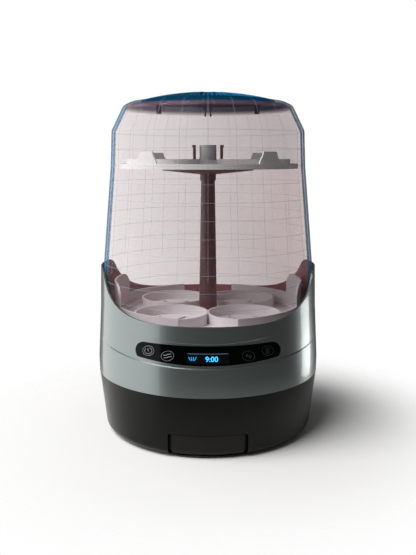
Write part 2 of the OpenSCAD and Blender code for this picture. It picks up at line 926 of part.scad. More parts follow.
base_housing();
bottom_plate();
rubber_feet();
housing_screws();
upper_housing();
control_fascia();
display_window();
display_module();
control_board();
key_switches();
power_key();
mode_key();
start_pause_key();
dry_key();
chamber_deck();
lid_seal();
heating_plate();
plate_seal();
heating_element();
thermostat();
thermal_fuse();
blower_housing();
blower_motor();
motor_shaft();
blower_wheel();
air_duct();
air_heater();
power_board();
power_inlet();
wire_harness();
filter_drawer();
filter_element();
lower_rack();
centre_post();
accessory_tray();
lid_dome();
lid_cap();
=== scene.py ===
import math

import bmesh
import bpy
from mathutils import Matrix, Vector


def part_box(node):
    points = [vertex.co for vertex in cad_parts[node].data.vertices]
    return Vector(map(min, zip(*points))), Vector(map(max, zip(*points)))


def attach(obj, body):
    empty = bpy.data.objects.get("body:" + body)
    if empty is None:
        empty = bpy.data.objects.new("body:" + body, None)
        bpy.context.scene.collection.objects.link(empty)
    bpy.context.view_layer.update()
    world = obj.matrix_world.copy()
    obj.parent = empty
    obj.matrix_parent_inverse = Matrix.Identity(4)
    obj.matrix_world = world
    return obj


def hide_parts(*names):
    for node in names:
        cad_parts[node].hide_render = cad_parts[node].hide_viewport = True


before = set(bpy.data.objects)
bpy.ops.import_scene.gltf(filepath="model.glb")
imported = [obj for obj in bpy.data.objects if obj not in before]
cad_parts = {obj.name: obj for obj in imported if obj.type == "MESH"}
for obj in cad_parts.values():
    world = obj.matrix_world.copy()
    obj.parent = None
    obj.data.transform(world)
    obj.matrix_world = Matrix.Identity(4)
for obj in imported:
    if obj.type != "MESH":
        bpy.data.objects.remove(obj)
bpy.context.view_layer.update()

MM = 0.001
FULL_TURN = 2 * math.pi


# ---- sizes, in millimetres; those of the housing, lid and keys match the design ---

# rim of the housing: low in front and behind, a hollow sweep, a round shoulder, a level side
RIM_FRONT = 143.0
RIM_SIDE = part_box("upper_housing")[1][2] / MM
RIM_R = 124.0
SWEEP_Y = -122.0
SWEEP_R = 97.0
SHOULDER_R = 20.0
# control band: part of a drum whose axis lies a little behind the middle, between two steps
# that slope up towards the back from their heights in front
BAND_BACK = 2.0
BAND_R = 126.5
BAND_FRONT = 125.0
BAND_LOW = 99.3
BAND_HIGH = 125.4
BAND_LOW_TILT = math.radians(8)
BAND_HIGH_TILT = math.radians(14)
# the least that each step stays below the rim
LOW_STEP_DROP = 28.0
HIGH_STEP_DROP = 8.0
# side of the housing, as heights and radii
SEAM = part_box("upper_housing")[0][2] / MM
HOUSE_PROFILE = [(SEAM, 127.1), (86.0, 127.3), (146.0, 124.0), (192.0, 122.8)]
HOUSE_WALL = 1.9
HOUSE_EDGE_ROUND = 0.45
# side of the lid, as heights and radii, and its top
LID_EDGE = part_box("lid_dome")[0][2] / MM
LID_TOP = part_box("lid_dome")[1][2] / MM
LID_SIDE = [(LID_EDGE, 120.3), (188, 119.9), (240, 115.2), (300, 109.6), (340, 107.8)]
LID_CROWN = [(94.4, 367), (86, LID_TOP), (0, LID_TOP)]
LID_CORNER_R = 9
LID_WALL = 2.6
# vent cap on the lid's top, and its ribs: the radii they start at, in turn, and the half width
# and height of their foot and crest against the cap's own surface
CAP_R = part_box("lid_cap")[1][0] / MM
CAP_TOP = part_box("lid_cap")[1][2] / MM
CAP_RIM = LID_TOP + 1.4
RIBS = 96
RIB_STARTS = (9, 40, 64, 40)
RIB_END = CAP_R - 2.2
RIB_FOOT = (0.5, -0.3)
RIB_CREST = (0.3, 0.35)
# keys: the place of each centre across and up, the half width and height of the printed ring,
# the lean of the print in degrees, and the straight and round parts of the holes in the housing
KEYS = {"power_key": (-61.0, 115.0), "mode_key": (-41.0, 112.0),
        "start_pause_key": (41.0, 112.0), "dry_key": (61.0, 115.0)}
KEY_RING = (7.1, 5.0)
KEY_LEAN = 18
KEY_HOLE_STRAIGHT = 1.75
KEY_HOLE_R = 6.9
# how far the prints stand off the band's drum
KEY_PRINT_LIFT = 0.56
BAND_PRINT_LIFT = 0.26
# printed lines on the lid: uprights every few degrees, from above the rim to short of the cap,
# and hoops at even heights
LINE_HALF = 0.2
LINE_LIFT = 0.12
LINE_THICK = 0.1
UPRIGHT_TURN = 15
UPRIGHT_START_Z = 150
UPRIGHT_END_R = 60
HOOP_HEIGHTS = range(158, 340, 18)


# ---- making meshes ---------------------------------------------------------------

# an edge folded more than this is drawn sharp
FOLD = math.radians(35)
# a corner opened wider than this is left as it is when an outline is rounded
NEARLY_STRAIGHT = math.radians(165)


def piece(name, bm, body, material, smooth=True, replaces=None):
    """Turns a bmesh in millimetres into a piece that rides on a body, sharp where it folds."""
    for edge in bm.edges:
        edge.smooth = edge.is_manifold and edge.calc_face_angle() < FOLD
    bm.transform(Matrix.Scale(MM, 4))
    mesh = bpy.data.meshes.new(name)
    bm.to_mesh(mesh)
    bm.free()
    for face in mesh.polygons:
        face.use_smooth = smooth
    mesh.materials.append(material)
    obj = bpy.data.objects.new(name, mesh)
    bpy.context.scene.collection.objects.link(obj)
    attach(obj, body)
    if replaces:
        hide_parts(replaces)
    return obj


def chain(bm, points):
    """Joins points into one run of edges and returns its geometry."""
    verts = [bm.verts.new(p) for p in points]
    edges = [bm.edges.new(pair) for pair in zip(verts, verts[1:])]
    return verts + edges


def turned(bm, profile, steps):
    """Spins a profile of (radius, height) pairs about the upright axis."""
    geometry = chain(bm, [(r, 0, z) for r, z in profile])
    bmesh.ops.spin(bm, geom=geometry, axis=(0, 0, 1), cent=(0, 0, 0), angle=FULL_TURN,
                   steps=steps, use_merge=True)
    bmesh.ops.remove_doubles(bm, verts=bm.verts, dist=0.001)
    bmesh.ops.recalc_face_normals(bm, faces=bm.faces)


def rounded(points, radius):
    """Replaces each inner corner of a flat outline by a curve that meets both sides smoothly."""
    steps = 6
    out = [points[0]]
    for before, corner, after in zip(points, points[1:], points[2:]):
        p, a, b = Vector(corner), Vector(before), Vector(after)
        into, away = (a - p).normalized(), (b - p).normalized()
        if into.angle(away) > NEARLY_STRAIGHT:
            out.append(corner)
            continue
        half = into.angle(away) / 2
        room = 0.45 * min((a - p).length, (b - p).length)
        reach = min(radius / math.tan(half), room)
        start, end = p + into * reach, p + away * reach
        for i in range(steps + 1):
            t = i / steps
            out.append(tuple(start * (1 - t) ** 2 + p * 2 * t * (1 - t) + end * t ** 2))
    out.append(points[-1])
    return out


def between(value, table):
    """Reads a height-to-size table by straight lines."""
    for (x0, y0), (x1, y1) in zip(table, table[1:]):
        if value <= x1:
            return y0 + (y1 - y0) * (value - x0) / (x1 - x0)
    return table[-1][1]


def bevelled(obj, width_mm):
    """Breaks the sharp edges of a piece with a small round."""
    mod = obj.modifiers.new("edge round", "BEVEL")
    mod.width = width_mm * MM
    mod.segments = 2
    mod.limit_method = "ANGLE"
    mod.angle_limit = math.radians(40)


def walled(obj, thickness_mm):
    """Gives a shell its wall, inwards from its outer face."""
    mod = obj.modifiers.new("wall", "SOLIDIFY")
    mod.thickness = thickness_mm * MM
    mod.offset = -1


# ---- materials -------------------------------------------------------------------

# sockets of the Mix node while it mixes colours
MIX_FACTOR, MIX_A, MIX_B = 0, 6, 7
MIXED = 2


def colour(hex_code):
    """sRGB hex to linear, opaque."""
    parts = [int(hex_code[i:i + 2], 16) / 255 for i in (1, 3, 5)]
    return (*[c / 12.92 if c <= 0.04045 else ((c + 0.055) / 1.055) ** 2.4 for c in parts], 1.0)


def add(tree, kind, settings=None, links=None):
    """Adds one shader node, with its settings and its incoming links."""
    made = tree.nodes.new(kind)
    for key, value in (settings or {}).items():
        if isinstance(key, int) or key in made.inputs:
            made.inputs[key].default_value = value
        else:
            setattr(made, key, value)
    for key, source in (links or {}).items():
        tree.links.new(source, made.inputs[key])
    return made


def blank(name):
    """A new material with nothing in it but the object's own coordinates."""
    mat = bpy.data.materials.new(name)
    mat.use_nodes = True
    tree = mat.node_tree
    tree.nodes.clear()
    place = add(tree, "ShaderNodeTexCoord").outputs["Object"]
    return mat, tree, place


# size of the patches in which a moulded or rolled surface drifts in tone, and depth of its grain
PATCH_MM = 60.0
GRAIN_DEPTH_MM = 0.2


def surfaced(name, low, high, grain_mm, roughness, bump, stretch=(1, 1, 1), **settings):
    """A surface whose tone drifts in wide patches, with a fine grain in its height and gloss."""
    mat, tree, place = blank(name)
    placed = add(tree, "ShaderNodeMapping", {"Scale": stretch}, {"Vector": place}).outputs[0]
    patches = add(tree, "ShaderNodeTexNoise", {"Scale": 1 / (PATCH_MM * MM), "Detail": 3.0},
                  {"Vector": placed})
    tone = add(tree, "ShaderNodeMix",
               {"data_type": "RGBA", MIX_A: colour(low), MIX_B: colour(high)},
               {MIX_FACTOR: patches.outputs["Fac"]})
    grain = add(tree, "ShaderNodeTexNoise", {"Scale": 1 / (grain_mm * MM), "Detail": 4.0},
                {"Vector": placed})
    gloss = add(tree, "ShaderNodeMapRange", {"To Min": roughness[0], "To Max": roughness[1]},
                {"Value": grain.outputs["Fac"]})
    relief = add(tree, "ShaderNodeBump", {"Strength": bump, "Distance": GRAIN_DEPTH_MM * MM},
                 {"Height": grain.outputs["Fac"]})
    shader = add(tree, "ShaderNodeBsdfPrincipled", settings,
                 {"Base Color": tone.outputs[MIXED], "Roughness": gloss.outputs[0],
                  "Normal": relief.outputs[0]})
    add(tree, "ShaderNodeOutputMaterial", None, {"Surface": shader.outputs[0]})
    return mat


# ABS, injection moulded in a polished mould: near black with a brown cast and a quiet gloss
BASE_ABS = surfaced("polished_moulded_abs", "#060504", "#0c0a08", 1.2, (0.2, 0.28), 0.01,
                    **{"IOR": 1.54, "Specular IOR Level": 0.16})
# ABS with a metallic pearl, moulded satin and lacquered: a cool grey that takes soft broad
# highlights under a faint clear gloss
PEARL_ABS = surfaced("satin_pearl_abs", "#868f8d", "#8e9795", 0.7, (0.29, 0.33), 0.004,
                     **{"IOR": 1.5, "Metallic": 0.85, "Coat Weight": 0.6, "Coat Roughness": 0.03})
# spark-eroded PP, moulded: dull and slightly mottled, for the underside
TEXTURED_PP = surfaced("spark_textured_pp", "#1c1a18", "#2a2724", 0.9, (0.5, 0.68), 0.35, **{"IOR": 1.49})
# acrylic, hard coated: a smooth black panel and keys, with small faint highlights
COATED_ACRYLIC = surfaced("hard_coated_acrylic", "#010102", "#040405", 2.0, (0.08, 0.14), 0.01,
                          **{"IOR": 1.49, "Specular IOR Level": 0.12})
# silicone rubber, compression moulded: soft, chalky and slightly uneven
SILICONE = surfaced("moulded_silicone", "#c2bebb", "#d2cecb", 1.5, (0.5, 0.65), 0.12, **{"IOR": 1.41})
# rubber, moulded: black feet with a dry bloom
FOOT_RUBBER = surfaced("moulded_foot_rubber", "#0c0c0c", "#191918", 0.8, (0.6, 0.8), 0.3, **{"IOR": 1.52})
# PP food grade, moulded in a smooth mould: near white and satin, made whiter than the rack as painted light
# so that the tray looks strongly lit, the brightest piece in the lid
TRAY_PP = surfaced("moulded_food_grade_pp_painted_light", "#efecec", "#f8f6f6", 0.8, (0.34, 0.46), 0.05)
# PP food grade, moulded: pale with a faint lilac cast, and light passes a little way in
RACK_PP = surfaced("moulded_food_grade_pp", "#d9d2d6", "#e6e0e2", 0.8, (0.34, 0.46), 0.08,
                   **{"IOR": 1.49, "Subsurface Weight": 0.08, "Subsurface Radius": (0.004, 0.003, 0.003)})
# PP, moulded: a dark mauve-brown post
POST_PP = surfaced("moulded_dark_mauve_pp", "#4d3637", "#654b4b", 0.9, (0.33, 0.46), 0.1, **{"IOR": 1.49})
# stainless steel, pressed and brushed: fine straight streaks in the dish
DISH_STEEL = surfaced("brushed_stainless_steel", "#9da1a3", "#babdbe", 0.5, (0.2, 0.38), 0.12,
                      stretch=(1, 8, 1), **{"Metallic": 1.0})
# steel, turned and zinc plated: a pale grey sheen on the screws, motor and shaft
PLATED_STEEL = surfaced("zinc_plated_steel", "#8b8d8f", "#a6a8a9", 0.6, (0.25, 0.42), 0.1,
                        **{"Metallic": 1.0})
# tube steel, drawn and oxidised: the brownish dull sheath of the boiling element
SHEATH_STEEL = surfaced("oxidised_tube_steel", "#5f5a53", "#827a70", 1.0, (0.35, 0.55), 0.15,
                        **{"Metallic": 1.0})
# aluminium, stamped: thin fins with a warm dull shine
FIN_ALUMINIUM = surfaced("stamped_aluminium", "#b3a88f", "#c9bfa8", 0.6, (0.3, 0.45), 0.1,
                         **{"Metallic": 1.0})
# nylon, glass filled and moulded: dark grey and matt, for the blower, inlet and small inner parts
FILLED_NYLON = surfaced("glass_filled_nylon", "#26292c", "#383c40", 0.6, (0.45, 0.6), 0.25, **{"IOR": 1.53})
# fibreglass laminate, coated with solder mask: an even green with a soft gloss
SOLDER_MASK = surfaced("green_solder_mask", "#174a2e", "#23633f", 1.6, (0.3, 0.42), 0.08, **{"IOR": 1.5})
# PVC, extruded over copper: smooth dull red leads
LEAD_PVC = surfaced("extruded_pvc", "#a33a2f", "#b84a3c", 1.0, (0.4, 0.5), 0.08, **{"IOR": 1.53})
# filter paper, pleated: pale, matt and fibrous
FILTER_PAPER = surfaced("pleated_filter_paper", "#d9d4c6", "#ece8dc", 0.5, (0.8, 0.95), 0.5,
                        stretch=(1, 5, 1))
# drawer ABS, satin moulded: a shade darker than the shell round it
DRAWER_ABS = surfaced("satin_moulded_abs", "#080705", "#0f0d0a", 0.8, (0.38, 0.5), 0.1,
                      **{"IOR": 1.54, "Specular IOR Level": 0.2})


def clear_lid_plastic():
    """Polycarbonate, injection moulded: clear in front, rosier towards the back, and deeper towards the
    right as painted shade; a blue line just inside a grey edge where the wall is seen end on, and a blue
    crown."""
    line_start, line_full = 0.78, 0.82
    grey_start, grey_full = 0.87, 0.92
    crown_start, crown_full = 0.362, 0.3675
    line_cover = 0.55
    mat, tree, place = blank("clear_moulded_polycarbonate")
    facing = add(tree, "ShaderNodeLayerWeight", {"Blend": 0.5}).outputs["Facing"]
    split = add(tree, "ShaderNodeSeparateXYZ", None, {0: place})
    across, depth = split.outputs["X"], split.outputs["Y"]
    # painted shade: the rose thickens towards the right, the side away from the lamps, so that side looks
    # shaded
    painted_shade_right = add(tree, "ShaderNodeMapRange",
               {"From Min": -0.12, "From Max": 0.1, "To Min": 0.13, "To Max": 0.4},
               {"Value": across}).outputs[0]
    rose_and_painted_shade = add(tree, "ShaderNodeMapRange",
               {"From Min": -0.06, "From Max": 0.05, "To Min": 0.03, "interpolation_type": "SMOOTHSTEP"},
               {"Value": depth, "To Max": painted_shade_right}).outputs[0]
    flow = add(tree, "ShaderNodeTexNoise", {"Scale": 1 / (90 * MM), "Detail": 2.0}, {"Vector": place})
    body = add(tree, "ShaderNodeMix",
               {"data_type": "RGBA", MIX_A: colour("#dc8f93"), MIX_B: colour("#e3a0a3")},
               {MIX_FACTOR: flow.outputs["Fac"]}).outputs[MIXED]
    line = add(tree, "ShaderNodeValToRGB", None, {"Fac": facing})
    start, full = line.color_ramp.elements
    start.position = line_start
    start.color = colour("#000000")
    full.position = line_full
    full.color = colour("#ffffff")
    grey = add(tree, "ShaderNodeMapRange", {"From Min": grey_start, "From Max": grey_full},
               {"Value": facing}).outputs[0]
    crown = add(tree, "ShaderNodeMapRange", {"From Min": crown_start, "From Max": crown_full},
                {"Value": split.outputs["Z"]}).outputs[0]
    edge_tone = add(tree, "ShaderNodeMix",
                    {"data_type": "RGBA", MIX_A: colour("#069fd6"), MIX_B: colour("#4c5658")},
                    {MIX_FACTOR: grey}).outputs[MIXED]
    sides = add(tree, "ShaderNodeMix", {"data_type": "RGBA"},
                {MIX_FACTOR: line.outputs[0], MIX_A: body, MIX_B: edge_tone}).outputs[MIXED]
    tone = add(tree, "ShaderNodeMix", {"data_type": "RGBA", MIX_B: colour("#0e4a6c")},
               {MIX_FACTOR: crown, MIX_A: sides}).outputs[MIXED]
    cover = add(tree, "ShaderNodeMath", {"operation": "MAXIMUM"}, {0: line.outputs[0], 1: crown}).outputs[0]
    alpha = add(tree, "ShaderNodeMath", {"operation": "MULTIPLY_ADD", "use_clamp": True, 1: line_cover},
                {0: cover, 2: rose_and_painted_shade}).outputs[0]
    gleam = add(tree, "ShaderNodeMapRange", {"To Min": 0.3, "To Max": 0.0}, {"Value": crown}).outputs[0]
    shader = add(tree, "ShaderNodeBsdfPrincipled", {"Roughness": 0.08, "IOR": 1.58},
                 {"Base Color": tone, "Alpha": alpha, "Specular IOR Level": gleam})
    add(tree, "ShaderNodeOutputMaterial", None, {"Surface": shader.outputs[0]})
    return mat


def glowing(name, hex_code, strength):
    """A lit display segment, a little uneven across its width."""
    mat, tree, place = blank(name)
    spots = add(tree, "ShaderNodeTexNoise", {"Scale": 1 / (1.5 * MM), "Detail": 2.0}, {"Vector": place})
    level = add(tree, "ShaderNodeMapRange", {"To Min": strength * 0.8, "To Max": strength * 1.15},
                {"Value": spots.outputs["Fac"]})
    shader = add(tree, "ShaderNodeBsdfPrincipled",
                 {"Base Color": colour(hex_code), "Emission Color": colour(hex_code), "Roughness": 0.4},
                 {"Emission Strength": level.outputs[0]})
    add(tree, "ShaderNodeOutputMaterial", None, {"Surface": shader.outputs[0]})
    return mat


LID_PC = clear_lid_plastic()
# polycarbonate, tinted and moulded: a deep blue cap with no sheen
CAP_PC = surfaced("blue_tinted_polycarbonate", "#0b3148", "#154d70", 1.5, (0.3, 0.4), 0.03,
                  **{"IOR": 1.58, "Specular IOR Level": 0.0})
# the same polycarbonate on the ribs' thin crests, painted a brighter blue as a highlight where they catch
# the light
RIB_HIGHLIGHT_PC = surfaced("blue_polycarbonate_painted_highlight", "#1d6b9c", "#3f97c6", 1.5, (0.25, 0.35), 0.03,
                  **{"IOR": 1.58, "Specular IOR Level": 0.0})
# ink, screen printed on the lid: pale blue hairlines that the lid shows through
LINE_INK = surfaced("screen_printed_blue_ink", "#a6d3ee", "#c9e6f6", 1.5, (0.3, 0.4), 0.02,
                    **{"Alpha": 0.26, "Specular IOR Level": 0.1})
# ink, pad printed: pale grey signs on the two left keys
KEY_INK = surfaced("pad_printed_grey_ink", "#b4bbbd", "#ccd2d4", 0.5, (0.4, 0.55), 0.05)
# ink, pad printed: the same grey signs on the two right keys, painted darker as shade on the side away from
# the lamps
SHADED_KEY_INK = surfaced("pad_printed_ink_painted_shade", "#54585a", "#676c6e", 0.5, (0.4, 0.55), 0.05)
# display segments, lit from behind: a clear bright blue
DIGIT_LIGHT = glowing("blue_display_segments", "#3ab0f0", 1.6)
# the display's top line, faintly lit: grey blue
PANEL_LIGHT = glowing("dim_display_line", "#5c7c92", 0.35)
# polycarbonate, smoked: a smooth window, almost as dark as the panel round it
WINDOW_PC = surfaced("smoked_polycarbonate", "#070c12", "#0d151d", 1.5, (0.1, 0.16), 0.01,
                     **{"IOR": 1.58, "Specular IOR Level": 0.12})

NODE_FINISH = {
    "base_housing": BASE_ABS, "bottom_plate": TEXTURED_PP, "rubber_feet": FOOT_RUBBER,
    "housing_screws": PLATED_STEEL, "upper_housing": PEARL_ABS, "control_fascia": COATED_ACRYLIC,
    "display_window": WINDOW_PC, "display_module": FILLED_NYLON, "control_board": SOLDER_MASK,
    "key_switches": FILLED_NYLON, "power_key": COATED_ACRYLIC, "mode_key": COATED_ACRYLIC,
    "start_pause_key": COATED_ACRYLIC, "dry_key": COATED_ACRYLIC, "chamber_deck": RACK_PP,
    "lid_seal": SILICONE, "heating_plate": DISH_STEEL, "plate_seal": SILICONE,
    "heating_element": SHEATH_STEEL, "thermostat": FIN_ALUMINIUM, "thermal_fuse": PLATED_STEEL,
    "blower_housing": FILLED_NYLON, "blower_motor": PLATED_STEEL, "motor_shaft": PLATED_STEEL,
    "blower_wheel": FILLED_NYLON, "air_duct": RACK_PP, "air_heater": FIN_ALUMINIUM,
    "power_board": SOLDER_MASK, "power_inlet": FILLED_NYLON, "wire_harness": LEAD_PVC,
    "filter_drawer": DRAWER_ABS, "filter_element": FILTER_PAPER, "lower_rack": RACK_PP,
    "centre_post": POST_PP, "accessory_tray": TRAY_PP, "lid_dome": LID_PC, "lid_cap": CAP_PC,
}
for name, finish in NODE_FINISH.items():
    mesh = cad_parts[name].data
    mesh.materials.clear()
    mesh.materials.append(finish)


# ---- grey housing ----------------------------------------------------------------

def rim_height(y):
    """Height of the housing's rim: low in front and behind, a hollow sweep, a level side."""
    y = -abs(y)
    sweep_z = RIM_FRONT + SWEEP_R
    shoulder_z = RIM_SIDE - SHOULDER_R
    reach = SWEEP_R + SHOULDER_R
    fall = sweep_z - shoulder_z
    run = math.sqrt(reach ** 2 - fall ** 2)
    meet_y = SWEEP_Y + run * SWEEP_R / reach
    if y < SWEEP_Y:
        return RIM_FRONT
    if y < meet_y:
        return sweep_z - math.sqrt(SWEEP_R ** 2 - (y - SWEEP_Y) ** 2)
    if y < SWEEP_Y + run:
        return shoulder_z + math.sqrt(SHOULDER_R ** 2 - (y - SWEEP_Y - run) ** 2)
    return RIM_SIDE


def step_height(y, front_height, tilt):
    """Height of one of the band's steps at a depth."""
    return front_height + (y + BAND_FRONT) * math.tan(tilt)


def house_rows(y):
    """Heights of the housing's rows of points at one depth, and whether each is in the band."""
    rim = rim_height(y)
    low = min(step_height(y, BAND_LOW, BAND_LOW_TILT), rim - LOW_STEP_DROP)
    high = min(step_height(y, BAND_HIGH, BAND_HIGH_TILT), rim - HIGH_STEP_DROP)
    # below the band, with close rows at the seam and at the low step
    rows = [(SEAM, 0), (SEAM + 0.5, 0), (78, 0), (86, 0), (low - 5, 0), (low - 0.6, 0), (low, 0)]
    # the band, with close rows at its steps and between them, where the key holes are cut
    rows += [(low + 0.5, 1), (low + 2, 1)]
    rows += [(low + 2.6 + (high - low - 5.2) * k / 20, 1) for k in range(21)]
    rows += [(high - 2, 1), (high - 0.5, 1), (high, 0), (high + 0.6, 0)]
    # above the band, up to the rim
    rows += [(high + (rim - high) * k / 5, 0) for k in (1, 2, 3, 4)]
    rows += [(rim - 1.2, 0), (rim, 0)]
    return rows


def over_key(point):
    """Whether a point of the housing's front lies where a key passes through it."""
    beside = [max(abs(point.x - x) - KEY_HOLE_STRAIGHT, 0) for x, _ in KEYS.values()]
    above = [point.z - z for _, z in KEYS.values()]
    return point.y < 0 and any(math.hypot(*pair) < KEY_HOLE_R for pair in zip(beside, above))


def grey_housing():
    """A drum with one ring of points for each row, drawn out to the housing's shape."""
    bm = bmesh.new()
    count = len(house_rows(0))
    turned(bm, [(1, k) for k in range(count)], steps=480)
    for v in bm.verts:
        turn = math.atan2(v.co.x, -v.co.y)
        height, inset = house_rows(-RIM_R * math.cos(turn))[round(v.co.z)]
        radius = between(height, HOUSE_PROFILE)
        if inset:
            back = BAND_BACK * math.cos(turn)
            radius = min(radius, math.sqrt(BAND_R ** 2 - BAND_BACK ** 2 + back ** 2) - back)
        v.co = (radius * math.sin(turn), -radius * math.cos(turn), height)
    bmesh.ops.recalc_face_normals(bm, faces=bm.faces)
    holes = [face for face in bm.faces if over_key(face.calc_center_median())]
    bmesh.ops.delete(bm, geom=holes, context="FACES")
    obj = piece("swept_grey_housing", bm, "base", PEARL_ABS, replaces="upper_housing")
    walled(obj, HOUSE_WALL)
    bevelled(obj, HOUSE_EDGE_ROUND)


# ---- lid and cap -----------------------------------------------------------------

LID_PROFILE = rounded([(r, z) for z, r in LID_SIDE] + LID_CROWN, LID_CORNER_R)


def clear_lid():
    """The lid's shell, from its edge in the housing to its flat top."""
    bm = bmesh.new()
    turned(bm, LID_PROFILE, steps=160)
    obj = piece("clear_lid_shell", bm, "lid", LID_PC, replaces="lid_dome")
    walled(obj, LID_WALL)


def lid_lines():
    """Fine printed hoops and uprights on the outside of the lid."""
    bm = bmesh.new()
    upright = [(r + LINE_LIFT, -LINE_HALF, z) for r, z in LID_PROFILE
               if z > UPRIGHT_START_Z and r > UPRIGHT_END_R]
    for turn in range(0, 360, UPRIGHT_TURN):
        line = chain(bm, upright)
        edges = [part for part in line if isinstance(part, bmesh.types.BMEdge)]
        near = [part for part in line if isinstance(part, bmesh.types.BMVert)]
        made = bmesh.ops.extrude_edge_only(bm, edges=edges)["geom"]
        far = [part for part in made if isinstance(part, bmesh.types.BMVert)]
        bmesh.ops.translate(bm, verts=far, vec=(0, 2 * LINE_HALF, 0))
        bmesh.ops.rotate(bm, verts=near + far, cent=(0, 0, 0),
                         matrix=Matrix.Rotation(math.radians(turn), 3, "Z"))
    for middle in HOOP_HEIGHTS:
        sides = (middle - LINE_HALF, middle + LINE_HALF)
        turned(bm, [(between(z, LID_SIDE) + LINE_LIFT, z) for z in sides], steps=96)
    walled(piece("printed_lid_lines", bm, "lid", LINE_INK), LINE_THICK)


def cap_ribs():
    """Raised radial ribs that follow the cap's crown, clear of its slots, in three lengths."""
    bm = bmesh.new()
    rise = CAP_TOP - CAP_RIM
    crown = (CAP_R ** 2 + rise ** 2) / (2 * rise)
    middle = (0, 0, CAP_TOP - crown)
    foot, foot_z = RIB_FOOT[0], CAP_TOP + RIB_FOOT[1]
    crest, crest_z = RIB_CREST[0], CAP_TOP + RIB_CREST[1]
    section = [(0, -foot, foot_z), (0, -crest, crest_z), (0, crest, crest_z), (0, foot, foot_z)]
    for k in range(RIBS):
        start = math.asin(RIB_STARTS[k % len(RIB_STARTS)] / crown)
        sweep = math.asin(RIB_END / crown) - start
        face = bm.faces.new([bm.verts.new(p) for p in section])
        bmesh.ops.rotate(bm, verts=face.verts, cent=middle, matrix=Matrix.Rotation(start, 3, "Y"))
        before = set(bm.verts) - set(face.verts)
        bmesh.ops.spin(bm, geom=[face, *face.edges, *face.verts], axis=(0, 1, 0), cent=middle,
                       angle=sweep, steps=8)
        bmesh.ops.rotate(bm, verts=[v for v in bm.verts if v not in before], cent=(0, 0, 0),
                         matrix=Matrix.Rotation(k * FULL_TURN / RIBS, 3, "Z"))
    bmesh.ops.recalc_face_normals(bm, faces=bm.faces)
    # the ribs take the brighter blue: a painted highlight
    piece("vent_cap_ribs", bm, "lid", RIB_HIGHLIGHT_PC, smooth=False)


def ribbon(bm, points, width, closed=False):
    """A flat inked line through points, as quads with mitred joints."""
    pts = [Vector(p) for p in points]
    count = len(pts)
    sides = []
    for i, p in enumerate(pts):
        before = pts[i - 1] if closed or i else p
        after = pts[(i + 1) % count] if closed or i < count - 1 else p
        along = (after - before).normalized()
        across = Vector((-along.y, along.x)) * width / 2
        sides.append((bm.verts.new((*(p - across), 0)), bm.verts.new((*(p + across), 0))))
    for i in range(count if closed else count - 1):
        a, b = sides[i], sides[(i + 1) % count]
        bm.faces.new((a[0], b[0], b[1], a[1]))


def arc(cx, cy, rx, ry, start, end, steps=28):
    """Points along part of an ellipse, from one angle in degrees to another."""
    turns = [math.radians(start + (end - start) * i / steps) for i in range(steps + 1)]
    return [(cx + rx * math.cos(t), cy + ry * math.sin(t)) for t in turns]


def wave(x0, x1, y, height, waves):
    """Points along a wavy line."""
    steps = 16
    return [(x0 + (x1 - x0) * i / steps, y + height * math.sin(waves * FULL_TURN * i / steps))
            for i in range(steps + 1)]


def power_mark(bm):
    """An open ring with a short upright in its gap."""
    ribbon(bm, arc(0, 0, 4.6, 3.1, 120, 420), 0.6)
    ribbon(bm, [(0, -0.4), (0, 2.6)], 0.8)


def mode_mark(bm):
    """Two wavy lines, one over the other."""
    for y in (1.3, -1.3):
        ribbon(bm, wave(-4.6, 4.6, y, 0.35, 2), 0.8)


def start_pause_mark(bm):
    """A triangle and two bars."""
    bm.faces.new([bm.verts.new((*p, 0)) for p in ((-3.0, -1.6), (-0.2, 0), (-3.0, 1.6))])
    for x in (1.0, 2.7):
        ribbon(bm, [(x, -1.7), (x, 1.7)], 0.8)


def dry_mark(bm):
    """Three curved lines of warm air."""
    for x in (-1.8, 0, 1.8):
        ribbon(bm, [(x + dx, y) for y, dx in wave(-3.0, 3.0, 0, 0.5, 1)], 0.65)


def on_key(bm, place):
    """Moves a flat print from the drawing plane to the face of a key, leaning with the fascia."""
    x, z = place
    bm.transform(Matrix.Rotation(math.radians(-KEY_LEAN if x > 0 else KEY_LEAN), 4, "Z"))
    turn = math.asin(x / BAND_R)
    stand = Matrix.Rotation(math.radians(90), 4, "X")
    out = Matrix.Translation((0, -(BAND_R + KEY_PRINT_LIFT), 0))
    bm.transform(Matrix.Translation((0, BAND_BACK, z)) @ Matrix.Rotation(turn, 4, "Z") @ out @ stand)


def key_prints():
    """An oval ring and a sign on each key, riding on the key."""
    marks = {"power_key": (power_mark, KEY_INK), "mode_key": (mode_mark, KEY_INK),
             # the right keys' signs take the darker ink, painted shade
             "start_pause_key": (start_pause_mark, SHADED_KEY_INK), "dry_key": (dry_mark, SHADED_KEY_INK)}
    for key, (draw, ink) in marks.items():
        bm = bmesh.new()
        ribbon(bm, arc(0, 0, *KEY_RING, 0, 351, 39), 0.45, closed=True)
        draw(bm)
        bmesh.ops.solidify(bm, geom=bm.faces[:], thickness=0.06)
        on_key(bm, KEYS[key])
        bmesh.ops.recalc_face_normals(bm, faces=bm.faces)
        piece(key + "_print", bm, key, ink, smooth=False)


def on_band(bm):
    """Wraps a flat print in X and Y round the control band, Y becoming height."""
    for v in bm.verts:
        x, z = v.co.xy
        out = BAND_R + BAND_PRINT_LIFT + v.co.z
        v.co = (x, BAND_BACK - math.sqrt(out ** 2 - x ** 2), z)


def text_mesh(body, size):
    """A generic numeral string as a flat bmesh, centred."""
    curve = bpy.data.curves.new("numerals", "FONT")
    curve.body = body
    curve.size = size
    curve.align_x = "CENTER"
    curve.align_y = "CENTER"
    curve.offset = 0.12
    holder = bpy.data.objects.new("numerals", curve)
    bpy.context.scene.collection.objects.link(holder)
    bpy.context.view_layer.update()
    mesh = bpy.data.meshes.new_from_object(holder.evaluated_get(bpy.context.evaluated_depsgraph_get()))
    bm = bmesh.new()
    bm.from_mesh(mesh)
    bpy.data.objects.remove(holder)
    bpy.data.curves.remove(curve)
    bpy.data.meshes.remove(mesh)
    return bm


